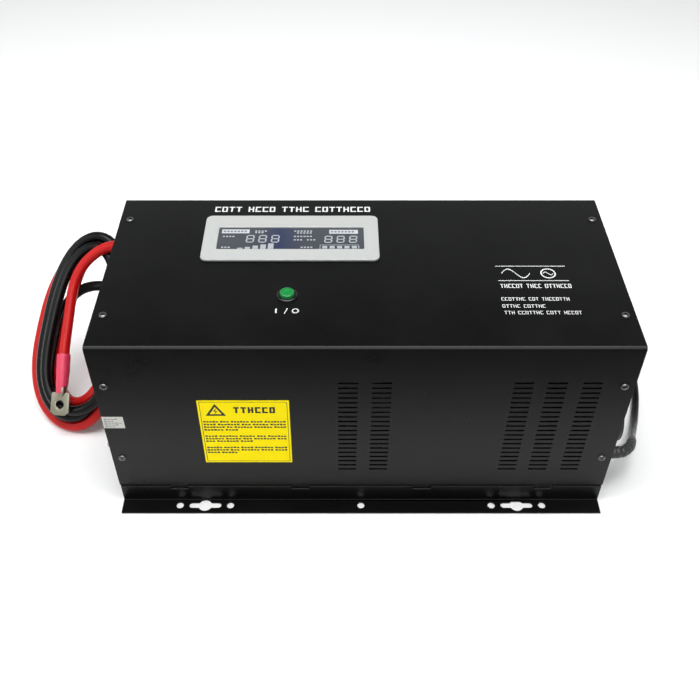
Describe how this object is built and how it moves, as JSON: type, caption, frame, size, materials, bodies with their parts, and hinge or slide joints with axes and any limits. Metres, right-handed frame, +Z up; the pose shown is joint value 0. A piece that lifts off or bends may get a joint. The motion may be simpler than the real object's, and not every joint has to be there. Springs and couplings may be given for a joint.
{
  "type": "power inverter",
  "caption": "Steel-cased power inverter with display and push button on top, vent slots, fixing flanges, battery leads with ring lugs, mains outlets, fan and mains cord.",
  "frame": {"origin": "on the surface the base stands on, under the middle of the case", "axes": "+X along the case towards the mains end, +Y from the labelled front to the back, +Z up"},
  "size_m": [0.6377, 0.3524, 0.2051],
  "materials": {
    "black_powder_coat": "satin powder coat",
    "black_zinc_steel": "black zinc plate, semi-gloss",
    "zinc_plated_steel": "bright zinc plate",
    "silver_plastic": "silver paint, semi-gloss",
    "lcd_glass": "clear gloss",
    "circuit_board": "solder mask",
    "black_plastic": "moulded, fine grain",
    "green_plastic": "gloss",
    "red_plastic": "gloss",
    "yellow_vinyl": "satin vinyl film",
    "black_rubber": "matt jacket",
    "red_rubber": "matt jacket",
    "pink_heat_shrink": "satin",
    "black_heat_shrink": "satin",
    "tinned_copper": "dull tin plate",
    "chromed_wire": "bright",
    "taped_winding": "copper winding on a steel core under polyester tape",
    "aluminium": "extruded",
    "capacitor_sleeve": "shrink sleeve",
    "copper": "bare copper"
  },
  "bodies": {
    "case": {"base_chassis": "black_powder_coat", "cover": "black_powder_coat", "left_panel": "black_powder_coat", "right_panel": "black_powder_coat", "cover_screw_top_1": "black_zinc_steel", "cover_screw_top_2": "black_zinc_steel", "cover_screw_top_3": "black_zinc_steel", "cover_screw_top_4": "black_zinc_steel", "cover_screw_front_1": "black_zinc_steel", "cover_screw_front_2": "black_zinc_steel", "cover_screw_front_3": "black_zinc_steel", "cover_screw_front_4": "black_zinc_steel", "cover_screw_back_1": "black_zinc_steel", "cover_screw_back_2": "black_zinc_steel", "cover_screw_back_3": "black_zinc_steel", "cover_screw_back_4": "black_zinc_steel", "display_bezel": "silver_plastic", "display_window": "lcd_glass", "display_board": "circuit_board", "power_button_ring": "black_plastic", "power_button_nut": "black_plastic", "front_label": "yellow_vinyl", "red_gland": "black_plastic", "black_gland": "black_plastic", "battery_coil": "black_rubber", "red_lead": "red_rubber", "black_lead": "black_rubber", "red_tail": "red_rubber", "red_sleeve": "pink_heat_shrink", "black_tail": "black_rubber", "black_sleeve": "black_heat_shrink", "red_lug": "tinned_copper", "black_lug": "tinned_copper", "earth_stud": "zinc_plated_steel", "fan_frame": "black_plastic", "fan_guard": "chromed_wire", "outlet_front": "black_plastic", "outlet_rear": "black_plastic", "breaker_body": "black_plastic", "mains_gland": "black_plastic", "mains_cord": "black_rubber", "mains_coil": "black_rubber", "mains_plug": "black_plastic", "transformer_core": "taped_winding", "transformer_washer": "zinc_plated_steel", "transformer_bolt": "zinc_plated_steel", "power_board": "circuit_board", "heat_sink_front": "aluminium", "heat_sink_rear": "aluminium", "capacitor_1": "capacitor_sleeve", "capacitor_2": "capacitor_sleeve", "positive_busbar": "copper", "negative_busbar": "copper", "filter_board": "circuit_board"},
    "power_cap": {"power_button_cap": "green_plastic"},
    "fan": {"fan_rotor": "black_plastic"},
    "breaker_cap": {"breaker_button": "red_plastic"}
  },
  "joints": [
    {"name": "power_press", "type": "slide", "parent": "case", "child": "power_cap", "axis": [0, 0, -1], "range_m": [0, 0.0025], "stiffness_N_per_m": 500, "springref_m": -0.002},
    {"name": "breaker_reset", "type": "slide", "parent": "case", "child": "breaker_cap", "axis": [-1, 0, 0], "range_m": [0, 0.0025], "stiffness_N_per_m": 800, "springref_m": -0.001},
    {"name": "fan_spin", "type": "hinge", "parent": "case", "child": "fan", "pos_m": [0.208, 0.055, 0.143], "axis": [1, 0, 0], "continuous": true}
  ]
}
